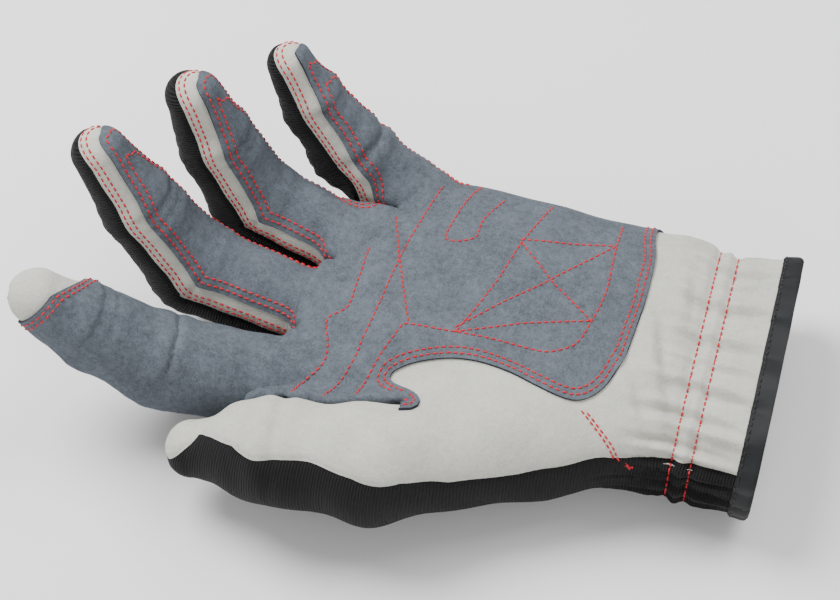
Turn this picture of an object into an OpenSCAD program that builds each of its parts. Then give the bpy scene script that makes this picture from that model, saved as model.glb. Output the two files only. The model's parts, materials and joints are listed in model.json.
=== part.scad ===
/* [Hand size] */
// Overall length multiplier of the finger tubes
finger_len = 1; // [0.9:0.05:1.1]
// Half height of the hand at the heel of the palm
heel_h = 19; // [17:0.5:21]
// Little-finger edge of the palm, measured from the middle of the hand
palm_edge = 40; // [38:0.5:43]
// Length of the cuff behind the wrist fold
cuff_len = 34; // [28:1:44]

/* [Materials] */
// Thickness of the pale suede front panels
suede_t = 1.2; // [0.8:0.1:1.6]
// Thickness of the grey reinforcement laid on the front panels
overlay_t = 1; // [0.6:0.1:1.4]
// Thickness of the knitted back
knit_t = 1.2; // [0.8:0.1:1.6]
// Width of the binding round the cuff
binding_w = 6; // [4:0.5:9]

/* [Movement] */
// Knuckle bend towards the palm, from the relaxed hand
knuckle_flex = 45; // [20:5:50]
// Knuckle bend backwards, from the relaxed hand
knuckle_ext = 25; // [10:5:35]
// Middle joint bend towards the palm, from the relaxed hand
mid_flex = 50; // [20:5:55]
// Fingertip joint bend towards the palm, from the relaxed hand
tip_flex = 45; // [20:5:50]
// Wrist bend towards the palm
wrist_flex = 30; // [10:5:35]
// Wrist bend backwards
wrist_ext = 25; // [10:5:30]

/* [Hidden] */
// The hand lies on its back: fingers to -X, thumb to -Y, palm to +Z.
origin = [5.6, -19, 0];
gap = 0.6;
skin_gap = 0.1;
palm_gap = 0.6;
hinge_rise = 0.4;
seam_angle = 78;
overlay_angle = 48;
index_side_angle = 118;
shape_power = 2 / 2.4;

FINGERS = ["index", "middle", "ring", "little"];
SEGMENTS = ["base", "mid", "tip"];
// Where each finger leaves the palm, and how far it fans out
root = [[-30, -44, 16], [-30, -17, 15.5], [-22, 7.7, 17], [-15, 31, 21.5]];
fan = [-14, -2, 2, 3];
// Rise of the three segments above the table
rise = [[12, 38, 44], [14, 58, 64], [16, 64, 72], [34, 56, 64]];
long = [[34, 25, 18], [37, 29, 23], [36, 27, 19.5], [24, 20, 17.5]] * finger_len;
// Half widths and half heights at the knuckle, the two joints and the tip
wide = [[13, 13, 11.4, 8.4], [12, 13.2, 11.2, 7.8], [11.8, 13, 11, 8], [10.4, 10.4, 9.2, 6.6]];
high = [[13.8, 13.4, 11.4, 8.4], [13.5, 14, 11.2, 7.8], [13.5, 13.8, 11, 8], [12.5, 12.5, 9.6, 6.6]];
// Thumb: knuckle, joint and tip centres, with the radius at each
thumb_pts = [[9, -65.5, 26], [-19, -70.4, 25.5], [-42, -74.5, 20]];
thumb_r = [16, 14.6, 8.2];
thumb_flex = [35, 45];
thumb_ext = [15, 20];
// Palm sections: x, lower edge y, upper edge y, middle z, half height, rise of the thumb side
knuckle_sections = [
    [-26, -56, 43, heel_h - 3, 15.8, 0],
    [-10, -51, palm_edge + 1, heel_h - 1.5, 17.5, 0],
    [9, -46, palm_edge, heel_h - 0.5, 19.5, 0]
];
heel_sections = [
    [12, -81, palm_edge, heel_h, heel_h + 1, 0.22],
    [22, -75, palm_edge, heel_h, heel_h + 1.5, 0.2],
    [36, -64, palm_edge - 0.5, heel_h, heel_h + 2, 0.15],
    [50, -53, palm_edge - 1, heel_h, heel_h + 2, 0],
    [62, -45, palm_edge - 1, heel_h, heel_h + 2, 0],
    [76, -40, palm_edge + 0.5, heel_h, heel_h + 2, 0]
];
wrist_x = 76;
cuff_sections = [
    [wrist_x, -40, palm_edge + 0.5, heel_h, heel_h + 2, 0],
    [wrist_x + cuff_len * 0.35, -39, 44, 20, heel_h + 1.5, 0],
    [wrist_x + cuff_len * 0.7, -38.5, 46, 20, heel_h + 2, 0],
    [wrist_x + cuff_len, -39, 47, 20, heel_h + 3, 0]
];
cuff_slant = 3;
elastic_x = [86, 92];
elastic_depth = 3.4;
elastic_margin = 2;
elastic_t = 1;
thread_w = 0.8;
thread_t = 0.6;
// Depth of the cuff fabric below the outline: the raised thread rings keep to it
cuff_inset = 1.4;
table_gap = 0.05;
binding_t = 2.6;
ring_steps = [for (i = [0:35]) i * 10];
knuckle_line = [
    [-57, -26.5], [-44, -30], [-17, -30], [-13, -29.8], [-10, -22], [7.7, -22], [13, -21.8], [15, -14], [45, -13]
];
knuckle_bend = [[7.7, 15], [31, 34]];
knuckle_hinge = [[-44, 21], [7.7, 22], [31, 26]];
thumb_line = [[-81, 15], [-65, 11], [-48, 8], [-47, 10.4]];
thumb_hinge_z = 32.4;
web_y = [-30.6, -4.8, 19.6];

function mix(a, b, t) = a + (b - a) * t;
function bow(v) = sign(v) * pow(abs(v), shape_power);
function angles(a, b, n) = [for (i = [0:n]) mix(a, b, i / n)];

// A segment's directions: along it, across it, and out of its palm side
function along(yaw, p) = [-cos(p) * cos(yaw), cos(p) * sin(yaw), sin(p)];
function across(yaw) = [sin(yaw), cos(yaw), 0];
function outward(yaw, p) = [sin(p) * cos(yaw), -sin(p) * sin(yaw), cos(p)];

// A thick patch between two grids of points, row by row
module skin(outer, inner) {
    rows = len(outer);
    cols = len(outer[0]);
    half = rows * cols;
    points = concat([for (r = outer) each r], [for (r = inner) each r]);
    function at(i, j) = i * cols + j;
    function quad(a, b, c, d) = [[a, b, c], [a, c, d]];
    faces = concat(
        [for (i = [0:rows - 2]) for (j = [0:cols - 2])
            each quad(at(i, j), at(i, j + 1), at(i + 1, j + 1), at(i + 1, j))],
        [for (i = [0:rows - 2]) for (j = [0:cols - 2])
            each quad(half + at(i + 1, j), half + at(i + 1, j + 1), half + at(i, j + 1), half + at(i, j))],
        [for (j = [0:cols - 2])
            each quad(half + at(0, j), half + at(0, j + 1), at(0, j + 1), at(0, j))],
        [for (j = [0:cols - 2])
            each quad(at(rows - 1, j), at(rows - 1, j + 1), half + at(rows - 1, j + 1), half + at(rows - 1, j))],
        [for (i = [0:rows - 2])
            each quad(at(i, 0), at(i + 1, 0), half + at(i + 1, 0), half + at(i, 0))],
        [for (i = [0:rows - 2])
            each quad(half + at(i, cols - 1), half + at(i + 1, cols - 1), at(i + 1, cols - 1), at(i, cols - 1))]
    );
    translate(-origin) polyhedron(points, faces, convexity = 6);
}

// The same, closed round into a sleeve
module sleeve(outer, inner) {
    rows = len(outer);
    cols = len(outer[0]);
    half = rows * cols;
    points = concat([for (r = outer) each r], [for (r = inner) each r]);
    function at(i, j) = i * cols + j % cols;
    function quad(a, b, c, d) = [[a, b, c], [a, c, d]];
    faces = concat(
        [for (i = [0:rows - 2]) for (j = [0:cols - 1])
            each quad(at(i, j), at(i, j + 1), at(i + 1, j + 1), at(i + 1, j))],
        [for (i = [0:rows - 2]) for (j = [0:cols - 1])
            each quad(half + at(i + 1, j), half + at(i + 1, j + 1), half + at(i, j + 1), half + at(i, j))],
        [for (j = [0:cols - 1])
            each quad(half + at(0, j), half + at(0, j + 1), at(0, j + 1), at(0, j))],
        [for (j = [0:cols - 1])
            each quad(at(rows - 1, j), at(rows - 1, j + 1), half + at(rows - 1, j + 1), half + at(rows - 1, j))]
    );
    translate(-origin) polyhedron(points, faces, convexity = 6);
}

// How far a wall stands back from a joint: wedges above and below the hinge let it bend
function stand_back(z, hinge_z, bend, flex, ext) =
    gap / 2 + max(0, z - hinge_z) * tan((bend + flex) / 2) + max(0, hinge_z - z) * tan((ext - bend) / 2);

// One tube segment between two joints. Each end is [w, h, hinge_h, bend, flex, ext]; a tip has no far joint.
function ring_point(c, yaw, p, s, a, w, h) =
    c + along(yaw, p) * s + across(yaw) * w * sin(a) + outward(yaw, p) * h * cos(a);
function tube_grid(c, yaw, p, length, near, far, inset, list) = [
    for (t = [0, 1 / 3, 2 / 3, 1]) [
        for (a = list)
            let (
                w = mix(near[0], far[0], t) - inset,
                h = mix(near[1], far[1], t) - inset,
                z0 = (near[1] - inset) * cos(a),
                z1 = (far[1] - inset) * cos(a),
                rise0 = near[2] * cos(near[3] / 2),
                s0 = near[2] * sin(near[3] / 2) + stand_back(z0, rise0, near[3], near[4], near[5]),
                rise1 = len(far) > 2 ? far[2] * cos(far[3] / 2) : 0,
                s1 = len(far) > 2
                    ? length - far[2] * sin(far[3] / 2) - stand_back(z1, rise1, far[3], far[4], far[5])
                    : length
            )
            ring_point(c, yaw, p, mix(s0, s1, t), a, w, h)
    ]
];
function tip_grid(c, yaw, p, length, far, inset, list) = [
    for (b = [22, 44, 64, 84]) [
        for (a = list)
            ring_point(c, yaw, p, length + (far[0] - inset) * sin(b), a,
                (far[0] - inset) * cos(b), (far[1] - inset) * cos(b))
    ]
];
function segment_grid(c, yaw, p, length, near, far, inset, list) = concat(
    tube_grid(c, yaw, p, length, near, far, inset, list),
    len(far) > 2 ? [] : tip_grid(c, yaw, p, length, far, inset, list)
);
module segment(c, yaw, p, length, near, far, depth, thick, list) {
    skin(
        segment_grid(c, yaw, p, length, near, far, depth, list),
        segment_grid(c, yaw, p, length, near, far, depth + thick, list)
    );
}

// Joint data of finger f at joint j: half width, half height, hinge offset, bend at rest, flex, extension
function bend(f, j) = j == 0 ? rise[f][0] : rise[f][j] - rise[f][j - 1];
function flex_of(j) = [knuckle_flex, mid_flex, tip_flex][j];
function ext_of(f, j) = j == 0 ? knuckle_ext : bend(f, j) + (j == 2 ? 5 : 0);
function joint(f, j) =
    j == 3 ? [wide[f][3], high[f][3]]
    : [wide[f][j], high[f][j], hinge_rise * high[f][j], bend(f, j), flex_of(j), ext_of(f, j)];
function joint_at(f, j) =
    j == 0 ? root[f] : joint_at(f, j - 1) + along(fan[f], rise[f][j - 1]) * long[f][j - 1];
module finger_skin(f, s, depth, thick, list) {
    segment(joint_at(f, s), fan[f], rise[f][s], long[f][s], joint(f, s), joint(f, s + 1), depth, thick, list);
}
module finger_front(f, s) {
    if (f == 0) color("slategray") finger_skin(f, s, 0, suede_t, angles(-index_side_angle, seam_angle, 12));
    else color("gainsboro") finger_skin(f, s, overlay_t, suede_t, angles(-seam_angle, seam_angle, 10));
}
module finger_overlay(f, s) {
    color("slategray") finger_skin(f, s, -skin_gap, overlay_t, angles(-overlay_angle, overlay_angle, 6));
}
module finger_back(f, s) {
    start = seam_angle + 1;
    finish = f == 0 ? 360 - index_side_angle - 1 : 360 - start;
    color("#1c1d20") finger_skin(f, s, overlay_t, knit_t, angles(start, finish, 12));
}
// Pale cap laid over the end of the index finger
module index_tip_cap() {
    list = angles(-index_side_angle + 8, seam_angle - 6, 10);
    far = joint(0, 3);
    start = joint_at(0, 2) + along(fan[0], rise[0][2]) * (long[0][2] - 1);
    rows = concat([[0, 1]], [for (b = [20, 42, 64, 84]) [sin(b), cos(b)]]);
    function cap(thick) = [
        for (r = rows) [
            for (a = list)
                ring_point(start, fan[0], rise[0][2], 1 + (far[0] + thick) * r[0], a,
                    (far[0] + thick) * r[1], (far[1] + thick) * r[1])
        ]
    ];
    color("gainsboro") skin(cap(skin_gap + suede_t * 0.8), cap(skin_gap));
}

// Thumb: two segments that lie beside the palm
function thumb_dir(s) = thumb_pts[s + 1] - thumb_pts[s];
function thumb_yaw(s) = atan2(thumb_dir(s)[1], -thumb_dir(s)[0]);
function thumb_rise(s) = asin(thumb_dir(s)[2] / norm(thumb_dir(s)));
function thumb_joint(j) =
    j == 2 ? [thumb_r[2], thumb_r[2]]
    : [thumb_r[j], thumb_r[j], hinge_rise * thumb_r[j],
       j == 0 ? thumb_rise(0) : thumb_rise(1) - thumb_rise(0), thumb_flex[j], thumb_ext[j]];
module thumb_skin(s, thick, list) {
    segment(thumb_pts[s], thumb_yaw(s), thumb_rise(s), norm(thumb_dir(s)),
        thumb_joint(s), thumb_joint(s + 1), 0, thick, list);
}
module thumb_front(s) {
    color("gainsboro") thumb_skin(s, suede_t, angles(-seam_angle - 4, seam_angle + 4, 12));
}
module thumb_back(s) {
    color("#1c1d20") thumb_skin(s, knit_t, angles(seam_angle + 5, 355 - seam_angle, 12));
}

// Hand shell: a rounded flat section, with the underside lying on the table
function section(list, x) = [for (k = [0:5]) lookup(x, [for (s = list) [s[0], s[k]]])];
function hand_y(s, a, inset) = (s[1] + s[2]) / 2 + ((s[2] - s[1]) / 2 - inset) * bow(sin(a));
function hand_z(s, a, inset, lowest) =
    max(lowest, s[3] + (s[4] - inset) * bow(cos(a))) + s[5] * max(0, -42 - hand_y(s, a, inset));
function knuckle_x(y, z) =
    lookup(y, knuckle_line) + 1
    + stand_back(z, lookup(y, knuckle_hinge), lookup(y, knuckle_bend), knuckle_flex, knuckle_ext);
function thumb_x(y, z) =
    lookup(y, thumb_line) + 1 + (y < -47.5 ? stand_back(z, thumb_hinge_z, 0, thumb_flex[0], thumb_ext[0]) : 0);
function palm_grid(list, inset) = [
    for (i = [0:3]) [
        for (a = list)
            let (
                s = section(knuckle_sections, mix(-26, 9, i / 3)),
                y = hand_y(s, a, inset),
                z = hand_z(s, a, inset, inset - overlay_t)
            )
            [mix(knuckle_x(y, z), 11, i / 3), y, z]
    ]
];
function wrist_back(z) = stand_back(z, heel_h, 0, wrist_flex, wrist_ext);
function heel_grid(list, inset) = [
    for (i = [0:6]) [
        for (a = list)
            let (
                s = section(heel_sections, mix(12, 76, i / 6)),
                y = hand_y(s, a, inset),
                z = hand_z(s, a, inset, inset - overlay_t)
            )
            [mix(thumb_x(y, z), wrist_x - wrist_back(z), i / 6), y, z]
    ]
];
// The cuff's mouth leans a little towards the thumb side
function cuff_x(x, y) = x - cuff_slant * (y / 45) * (x - wrist_x) / cuff_len;
function cuff_grid(list, inset, from, to, rows, wedge) = [
    for (i = [0:rows]) [
        for (a = list)
            let (
                x = mix(from, to, i / rows),
                s = section(cuff_sections, x),
                y = hand_y(s, a, inset),
                z = hand_z(s, a, inset, max(inset, table_gap))
            )
            [cuff_x(x + (wedge ? wrist_back(z) * (1 - i / rows) : 0), y), y, z]
    ]
];
module palm_front() {
    color("gainsboro")
        skin(palm_grid(angles(-84, 84, 16), overlay_t), palm_grid(angles(-84, 84, 16), overlay_t + suede_t));
}
module palm_overlay() {
    color("slategray")
        skin(palm_grid(angles(-80, 80, 16), -palm_gap), palm_grid(angles(-80, 80, 16), overlay_t - palm_gap));
}
module heel_front() {
    color("gainsboro")
        skin(heel_grid(angles(-88, 84, 20), overlay_t), heel_grid(angles(-88, 84, 20), overlay_t + suede_t));
}
// The reinforcement leaves the ball of the thumb free
module heel_overlay() {
    function slice(inset) = [for (i = [0:5]) [for (a = angles(-24, 80, 12)) heel_grid([a], inset)[i][0]]];
    color("slategray") skin(slice(-palm_gap), slice(overlay_t - palm_gap));
}
module back_panel() {
    color("#1c1d20") {
        skin(palm_grid(angles(86, 274, 18), overlay_t), palm_grid(angles(86, 274, 18), overlay_t + knit_t));
        skin(heel_grid(angles(86, 270, 18), overlay_t), heel_grid(angles(86, 270, 18), overlay_t + knit_t));
    }
}
// Strip that joins front and back between two fingers
module web(i) {
    x = lookup(web_y[i], knuckle_line) + 2.5;
    color("gainsboro")
        translate([x, web_y[i], 6] - origin)
            linear_extrude(19 + i)
                hull() {
                    translate([1, 0]) circle(1, $fn = 16);
                    translate([4, 0]) circle(1, $fn = 16);
                }
}
module thumb_bartack() {
    function patch(inset) = [
        for (x = [63, 66]) [
            for (a = [-62, -60])
                let (s = section(heel_sections, x)) [x, hand_y(s, a, inset), hand_z(s, a, inset, 0)]
        ]
    ];
    color("firebrick") skin(patch(0.2), patch(0.9));
}
module cuff_front() {
    list = angles(-84, 84, 18);
    end = wrist_x + cuff_len - binding_w;
    color("gainsboro")
        skin(
            cuff_grid(list, cuff_inset, wrist_x, end, 4, true),
            cuff_grid(list, cuff_inset + suede_t, wrist_x, end, 4, true)
        );
}
module cuff_back() {
    list = angles(86, 274, 18);
    end = wrist_x + cuff_len - binding_w;
    color("#1c1d20")
        skin(
            cuff_grid(list, cuff_inset, wrist_x, end, 4, true),
            cuff_grid(list, cuff_inset + knit_t, wrist_x, end, 4, true)
        );
}
module wrist_elastic() {
    start = elastic_x[0] - elastic_margin;
    end = elastic_x[1] + elastic_margin;
    color("white")
        sleeve(
            cuff_grid(ring_steps, elastic_depth, start, end, 1, false),
            cuff_grid(ring_steps, elastic_depth + elastic_t, start, end, 1, false)
        );
}
module elastic_thread() {
    inset = skin_gap;
    color("firebrick")
        for (x = elastic_x)
            sleeve(
                cuff_grid(ring_steps, inset, x - thread_w / 2, x + thread_w / 2, 1, false),
                cuff_grid(ring_steps, inset + thread_t, x - thread_w / 2, x + thread_w / 2, 1, false)
            );
}
module cuff_binding() {
    end = wrist_x + cuff_len;
    start = end - binding_w + skin_gap;
    color("#1c1d20")
        sleeve(
            cuff_grid(ring_steps, 0, start, end, 1, false),
            cuff_grid(ring_steps, binding_t, start, end, 1, false)
        );
}

palm_front();
palm_overlay();
heel_front();
heel_overlay();
back_panel();
web(0);  // web_index_middle
web(1);  // web_middle_ring
web(2);  // web_ring_little
thumb_bartack();
cuff_front();
cuff_back();
wrist_elastic();
elastic_thread();
cuff_binding();
index_tip_cap();
for (f = [0:3]) for (s = [0:2]) {
    finger_front(f, s);
    if (f > 0) finger_overlay(f, s);
    finger_back(f, s);
}
thumb_front(0);  // thumb_base_front
thumb_front(1);  // thumb_tip_front
thumb_back(0);  // thumb_base_back
thumb_back(1);  // thumb_tip_back
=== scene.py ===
import json
import math

import bpy
import numpy as np
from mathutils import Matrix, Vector, kdtree
from mathutils.bvhtree import BVHTree


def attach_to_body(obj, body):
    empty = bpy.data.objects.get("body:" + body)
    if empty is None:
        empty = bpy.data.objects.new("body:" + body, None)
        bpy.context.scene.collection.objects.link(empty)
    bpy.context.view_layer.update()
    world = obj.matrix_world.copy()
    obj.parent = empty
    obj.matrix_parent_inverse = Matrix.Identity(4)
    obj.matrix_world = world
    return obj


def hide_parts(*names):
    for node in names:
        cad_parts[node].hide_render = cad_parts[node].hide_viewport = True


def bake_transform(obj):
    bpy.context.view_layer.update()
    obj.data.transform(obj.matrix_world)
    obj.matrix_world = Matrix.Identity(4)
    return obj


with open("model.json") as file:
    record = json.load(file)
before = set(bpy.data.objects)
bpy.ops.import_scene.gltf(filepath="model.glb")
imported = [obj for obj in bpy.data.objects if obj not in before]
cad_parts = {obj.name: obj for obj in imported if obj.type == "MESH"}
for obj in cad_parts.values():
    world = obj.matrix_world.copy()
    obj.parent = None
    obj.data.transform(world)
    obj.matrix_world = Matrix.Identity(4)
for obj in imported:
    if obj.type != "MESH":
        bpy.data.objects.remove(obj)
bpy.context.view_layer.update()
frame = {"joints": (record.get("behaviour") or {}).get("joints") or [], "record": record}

# ---------------------------------------------------------------- the hand inside the glove
# Shapes are worked out in millimetres on the hand: fingers to -X, thumb to -Y, palm to +Z.
MM = 0.001
CUFF_MOUTH = np.array([110.0, 4.0, 20.0])
MOUNTS = {m["name"]: np.array(m["pos_m"]) for m in frame["record"]["mounts"]}
ORIGIN = CUFF_MOUTH - MOUNTS["cuff_opening"] / MM
JOINTS = {j["name"]: j for j in frame["joints"]}
HINGE_RISE = 0.4

FINGERS = ["index", "middle", "ring", "little"]
FAN = [-14, -2, 2, 3]
RISE = [[12, 38, 44], [14, 58, 64], [16, 64, 72], [34, 56, 64]]
LONG = [[34, 25, 18], [37, 29, 23], [36, 27, 19.5], [24, 20, 17.5]]
WIDE = [[13, 13, 11.4, 8.4], [12.2, 13.2, 11.2, 7.8], [11.8, 13, 11, 8], [10.4, 10.8, 9.2, 6.6]]
HIGH = [[13.8, 13.4, 11.4, 8.4], [13.5, 14, 11.2, 7.8], [13.5, 13.8, 11, 8], [12.5, 12.5, 9.6, 6.6]]
THUMB = np.array([[48, -38, 19], [9, -65.5, 26], [-19, -70.4, 25.5], [-42, -74.5, 20]])
THUMB_R = [16, 16, 14.6, 8.2]
# Palm sections: x, middle y, middle z, half width, half height
PALM = np.array([
    [-24, -7, 16.5, 47, 14.5],
    [5, -4, 19, 44, 17.5],
    [35, -3, 20, 43, 19],
    [58, -2, 20, 42, 20],
    [72, -0.5, 20, 42.5, 21],
    [86, 0, 20, 39.5, 19.5],
    [92, 0.5, 20, 40, 20],
    [112, 4, 20.5, 43, 22],
])
CROTCH = [(-27, -30.6), (-25, -4.8), (-14, 19.6)]
THUMB_CROTCH = (13.0, -48.5)
THUMB_SLIT_SLOPE = 0.262
CUFF_LEAN = 0.08
CUFF_END = 110.3
ROWS = (85.8, 91.4)
BINDING_W = 6.0
BINDING_ROW_IN = 1.1
BINDING_LIFT = 1.0
SUEDE_T = 1.1
OVERLAY_T = 0.9
STRIP_W = 6.6
CAP_START = 75.5

CELL = 1.0


def along(yaw, rise):
    y, p = np.radians(yaw), np.radians(rise)
    return np.stack([-np.cos(p) * np.cos(y), np.cos(p) * np.sin(y), np.sin(p) + 0 * y], -1)


def across(yaw):
    y = math.radians(yaw)
    return np.array([math.sin(y), math.cos(y), 0.0])


def outward(yaw, rise):
    y, p = np.radians(yaw), np.radians(rise)
    return np.stack([np.sin(p) * np.cos(y), -np.sin(p) * np.sin(y), np.cos(p) + 0 * y], -1)


def knuckle(f):
    """Centre of a finger's root, from the CAD hinge that lies a little towards the palm from it."""
    hinge = np.array(JOINTS[FINGERS[f] + "_knuckle"]["pos_m"]) / MM + ORIGIN
    return hinge - HINGE_RISE * HIGH[f][0] * outward(FAN[f], RISE[f][0] / 2)


CHAINS = []
for f in range(4):
    chain = [knuckle(f)]
    for s in range(3):
        chain.append(chain[-1] + along(FAN[f], RISE[f][s]) * LONG[f][s])
    CHAINS.append(np.array(chain))


# ---------------------------------------------------------------- distance fields
def smooth_min(a, b, k):
    h = np.clip(0.5 + 0.5 * (b - a) / k, 0, 1)
    return b + (a - b) * h - k * h * (1 - h)


def smoothstep(v, lo, hi):
    t = np.clip((v - lo) / (hi - lo), 0, 1)
    return t * t * (3 - 2 * t)


def bump(v, width):
    return np.exp(-((v / width) ** 2))


def cone(p, a, b, ra, rb):
    d = b - a
    length = np.linalg.norm(d)
    t = np.clip((p - a) @ (d / length) / length, 0, 1)
    return np.linalg.norm(p - a - t[..., None] * d, axis=-1) - (ra + (rb - ra) * t)


def finger_distance(p, f):
    c = CHAINS[f]
    side = across(FAN[f])
    lateral = (p - c[0]) @ side
    flat = p - lateral[..., None] * side
    out = None
    for s in range(3):
        d = c[s + 1] - c[s]
        length = np.linalg.norm(d)
        t = np.clip((flat - c[s]) @ (d / length) / length, 0, 1)
        high = HIGH[f][s] + (HIGH[f][s + 1] - HIGH[f][s]) * t
        wide = WIDE[f][s] + (WIDE[f][s + 1] - WIDE[f][s]) * t
        reach = np.linalg.norm(flat - c[s] - t[..., None] * d, axis=-1)
        e = np.hypot(reach, lateral * high / wide) - high
        out = e if out is None else smooth_min(out, e, 3)
    return out


def thumb_distance(p):
    out = None
    for s in range(3):
        e = cone(p, THUMB[s], THUMB[s + 1], THUMB_R[s], THUMB_R[s + 1])
        out = e if out is None else smooth_min(out, e, 6)
    return out


def beside_thumb(p):
    """Distance from the slit between thumb and palm, positive on the palm side."""
    off = p[..., 1] - THUMB_CROTCH[1] - THUMB_SLIT_SLOPE * (p[..., 0] - THUMB_CROTCH[0])
    return off / math.hypot(1, THUMB_SLIT_SLOPE)


def lean(p):
    return p[..., 0] + CUFF_LEAN * p[..., 1]


def palm_distance(p):
    x = p[..., 0]
    mid_y, mid_z, half_w, half_h = (np.interp(x, PALM[:, 0], PALM[:, k]) for k in range(1, 5))
    y = (p[..., 1] - mid_y) / half_w
    z = (p[..., 2] - mid_z) / half_h
    power = 2.6
    d = ((np.abs(y) ** power + np.abs(z) ** power) ** (1 / power) - 1) * np.minimum(half_w, half_h) * 0.95
    return np.maximum(d, -28 - x)


def hand_distance(p):
    fingers = [finger_distance(p, f) for f in range(4)]
    palm, thumb = palm_distance(p), thumb_distance(p)
    body = smooth_min(palm, thumb, 11)
    d = body
    for f in range(4):
        d = np.minimum(d, smooth_min(palm, fingers[f], 6))
    # keep neighbouring fingers apart, from the bottom of each crotch
    for i, (x, y) in enumerate(CROTCH):
        yaw = (FAN[i] + FAN[i + 1]) / 2
        off = (p[..., 1] - y) + math.tan(math.radians(yaw)) * (p[..., 0] - x)
        open_by = 0.9 + 0.05 * np.maximum(x - p[..., 0], 0)
        slit = np.maximum(np.abs(off) - open_by, p[..., 0] - x)
        d = -smooth_min(-d, slit, 2.0)
    slit = np.maximum(np.abs(beside_thumb(p)) - 1.1, p[..., 0] - THUMB_CROTCH[0])
    d = -smooth_min(-d, slit, 1.5)
    return -smooth_min(-d, p[..., 2], 2.0)


# ---------------------------------------------------------------- one smooth mesh of the whole glove
def surface_nets(values, low, cell):
    """Vertices and quads of the zero surface of a grid of values."""
    corners = [(i, j, k) for i in (0, 1) for j in (0, 1) for k in (0, 1)]
    size = [n - 1 for n in values.shape]
    inside = values < 0
    count = sum(inside[i:i + size[0], j:j + size[1], k:k + size[2]].astype(np.int8) for i, j, k in corners)
    cells = np.argwhere((count > 0) & (count < 8))
    index = np.full(size, -1, np.int64)
    index[tuple(cells.T)] = np.arange(len(cells))
    vals = np.stack([values[tuple((cells + c).T)] for c in corners], 1)
    total = np.zeros((len(cells), 3))
    hits = np.zeros(len(cells))
    for a in range(8):
        for b in range(a + 1, 8):
            ca, cb = np.array(corners[a]), np.array(corners[b])
            if np.abs(ca - cb).sum() != 1:
                continue
            va, vb = vals[:, a], vals[:, b]
            cross = (va < 0) != (vb < 0)
            t = np.where(cross, va / np.where(cross, va - vb, 1), 0)
            total += cross[:, None] * (ca + t[:, None] * (cb - ca))
            hits += cross
    verts = low + (cells + total / hits[:, None]) * cell
    quads = []
    for axis in range(3):
        u, v = (axis + 1) % 3, (axis + 2) % 3
        first = [slice(None)] * 3
        second = [slice(None)] * 3
        first[axis], second[axis] = slice(0, -1), slice(1, None)
        change = inside[tuple(first)] != inside[tuple(second)]
        e = np.argwhere(change)
        e = e[(e[:, u] > 0) & (e[:, v] > 0) & (e[:, u] < size[u]) & (e[:, v] < size[v])]
        du, dv = np.eye(3, dtype=int)[u], np.eye(3, dtype=int)[v]
        ring = [e - du - dv, e - dv, e, e - du]
        q = np.stack([index[tuple(r.T)] for r in ring], 1)
        flip = ~inside[tuple(e.T)]
        q[flip] = q[flip][:, ::-1]
        quads.append(q)
    return verts, np.concatenate(quads)


def gradient(p, step=0.05):
    g = np.zeros_like(p)
    for k in range(3):
        d = np.zeros(3)
        d[k] = step
        g[:, k] = (hand_distance(p + d) - hand_distance(p - d)) / (2 * step)
    return g


def to_surface(p, rounds=3):
    for _ in range(rounds):
        g = gradient(p)
        p = p - (hand_distance(p) / np.maximum((g ** 2).sum(1), 0.25))[:, None] * g
    return p


def vertex_normals(p, tris):
    n = np.zeros_like(p)
    face = np.cross(p[tris[:, 1]] - p[tris[:, 0]], p[tris[:, 2]] - p[tris[:, 0]])
    for k in range(3):
        for c in range(3):
            n[:, c] += np.bincount(tris[:, k], face[:, c], len(p))
    return n / np.maximum(np.linalg.norm(n, axis=1), 1e-9)[:, None]


def relax(p, tris, rounds):
    for _ in range(rounds):
        total = np.zeros_like(p)
        hits = np.zeros(len(p))
        for a, b in ((0, 1), (1, 2), (2, 0)):
            for i, j in ((a, b), (b, a)):
                hits += np.bincount(tris[:, i], minlength=len(p))
                for c in range(3):
                    total[:, c] += np.bincount(tris[:, i], p[tris[:, j], c], len(p))
        mean = total / np.maximum(hits, 1)[:, None]
        p = p + 0.5 * (mean - p)
    return p


def glove_surface():
    low, high = np.array([-108.0, -98.0, -6.0]), np.array([116.0, 54.0, 88.0])
    axes = [np.arange(a, b, CELL) for a, b in zip(low, high)]
    values = np.empty([len(a) for a in axes])
    plane = np.stack(np.meshgrid(axes[1], axes[2], indexing="ij"), -1)
    for i0 in range(0, len(axes[0]), 16):
        xs = axes[0][i0:i0 + 16]
        p = np.empty((len(xs),) + plane.shape[:2] + (3,))
        p[..., 0] = xs[:, None, None]
        p[..., 1:] = plane
        values[i0:i0 + 16] = hand_distance(p)
    values = np.maximum(values, axes[0][:, None, None] + CUFF_LEAN * axes[1][None, :, None] - CUFF_END - 3)
    p, quads = surface_nets(values, low, CELL)
    tris = np.concatenate([quads[:, [0, 1, 2]], quads[:, [0, 2, 3]]])
    tube = lean(p) < CUFF_END + 1
    for _ in range(3):
        moved = to_surface(relax(p, tris, 1), 1)
        p = np.where(tube[:, None], moved, p)
    return np.where(tube[:, None], to_surface(p, 2), p), tris


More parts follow.
